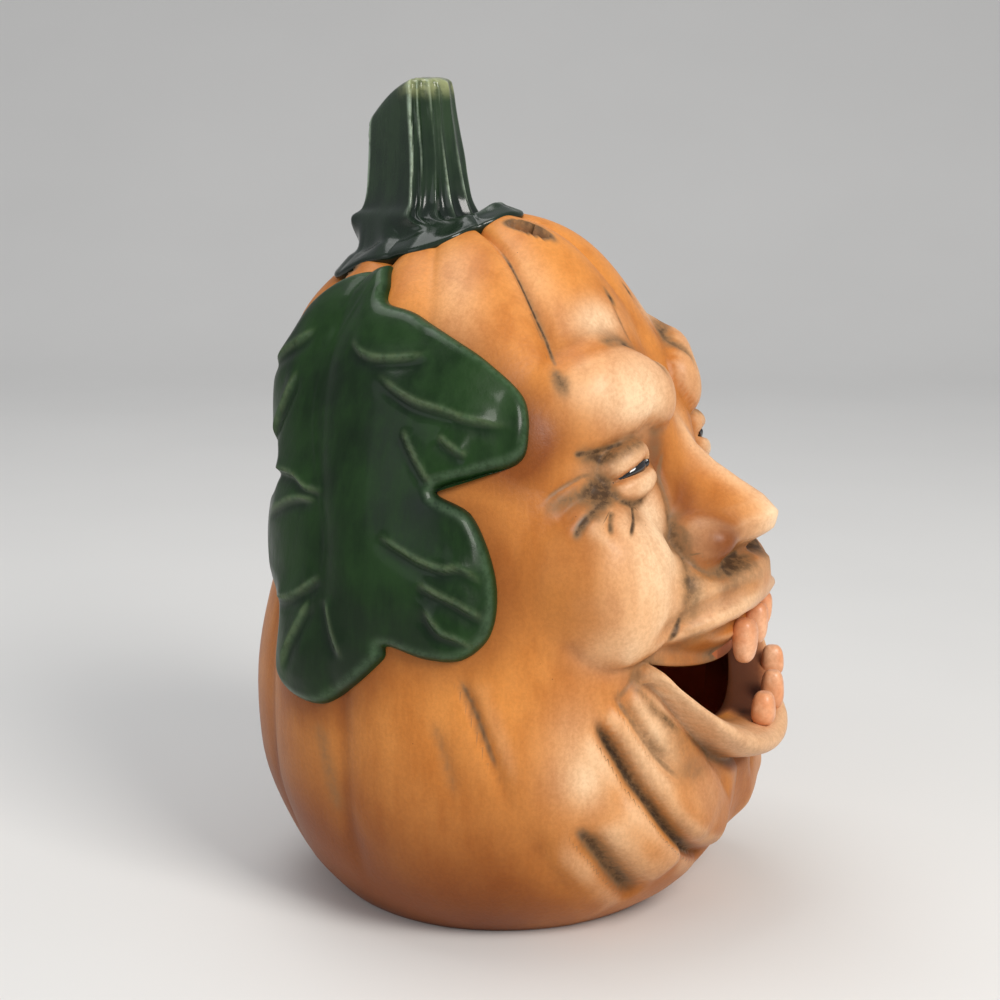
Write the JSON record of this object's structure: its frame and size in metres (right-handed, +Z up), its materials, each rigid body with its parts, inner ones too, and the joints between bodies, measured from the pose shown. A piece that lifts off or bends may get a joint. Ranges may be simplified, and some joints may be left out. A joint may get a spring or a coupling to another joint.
{
  "type": "jack-o-lantern candle holder",
  "caption": "Hollow ceramic pumpkin lantern with a laughing carved face, a side leaf and an upright stem, standing over a tea light on a small plate.",
  "frame": {"origin": "On the table at the middle of the foot, on the underside of the candle plate.", "axes": "+Z up along the height, -Y towards the side that the face looks to, -X towards the face's own right side, which carries the leaf."},
  "size_m": [0.1469, 0.1602, 0.24],
  "materials": {
    "painted_orange": "fired clay, brushed orange paint with a dark wash in the creases, satin",
    "tooth_paint": "fired clay, pale orange paint, satin",
    "leaf_glaze": "dark green, glossy",
    "stem_glaze": "very dark green, glossy, worn pale at the top edge",
    "black_glaze": "black, wet gloss",
    "plain_glaze": "orange brown, satin",
    "thin_aluminium": "drawn sheet, bright",
    "white_wax": "paraffin wax, cream white",
    "cotton": "braided cotton, unburnt"
  },
  "bodies": {
    "base": {"candle_plate": "plain_glaze"},
    "pumpkin": {"pumpkin_shell": "painted_orange", "leaf": "leaf_glaze", "stem": "stem_glaze", "upper_tooth_right": "tooth_paint", "upper_tooth_middle": "tooth_paint", "upper_tooth_left": "tooth_paint", "lower_tooth_right": "tooth_paint", "lower_tooth_middle": "tooth_paint", "lower_tooth_left": "tooth_paint", "right_eye": "black_glaze", "left_eye": "black_glaze"},
    "tealight": {"tealight_cup": "thin_aluminium", "tealight_wax": "white_wax", "wick_tab": "thin_aluminium", "wick": "cotton"}
  },
  "joints": [
    {"name": "pumpkin_lift", "type": "slide", "parent": "base", "child": "pumpkin", "axis": [0, 0, 1], "range_m": [0, 0.12]},
    {"name": "tealight_lift", "type": "slide", "parent": "base", "child": "tealight", "axis": [0, 0, 1], "range_m": [0, 0.03]}
  ]
}
